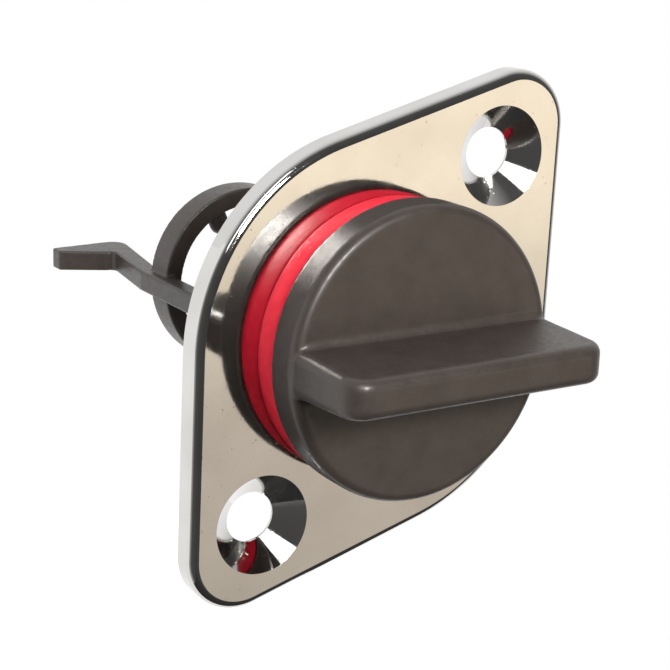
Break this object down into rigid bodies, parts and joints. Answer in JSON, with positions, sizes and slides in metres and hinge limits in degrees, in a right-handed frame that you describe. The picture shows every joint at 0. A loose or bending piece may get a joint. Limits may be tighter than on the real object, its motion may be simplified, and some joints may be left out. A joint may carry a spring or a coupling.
{
  "type": "captive drain plug fitting",
  "caption": "Lozenge flange with a threaded bore, closed by a blade-handled screw plug on a thick rubber washer, held captive by a swivelling cage with a hooked tail.",
  "frame": {"origin": "centre of the bore on the flange's flat back face, the face that lies against the hull", "axes": "+Y inboard along the bore, -Y outboard towards the handle, +Z from the bore to one screw hole, +X to the right seen from outboard"},
  "size_m": [0.0454, 0.0678, 0.0674],
  "materials": {
    "chrome": "polished chrome plate on a brass casting",
    "red_rubber": "satin moulded rubber",
    "black_nylon": "satin moulded nylon"
  },
  "bodies": {
    "flange": {"flange": "chrome"},
    "washer": {"sealing_washer": "red_rubber"},
    "retainer": {"retainer": "black_nylon"},
    "plug": {"drain_plug": "black_nylon"}
  },
  "joints": [
    {"name": "plug_pull", "type": "slide", "parent": "flange", "child": "washer", "axis": [0, -1, 0], "range_m": [0, 0.0233]},
    {"name": "thread_travel", "type": "slide", "parent": "washer", "child": "retainer", "axis": [0, -1, 0], "range_m": [0, 0.009]},
    {"name": "plug_turn", "type": "hinge", "parent": "retainer", "child": "plug", "pos_m": [0, 0, 0], "axis": [0, -1, 0], "range_deg": [0, 1350]}
  ],
  "couplings": [
    {"joint": "thread_travel", "follows": "plug_turn", "m_per_rad": 0.00038197}
  ]
}
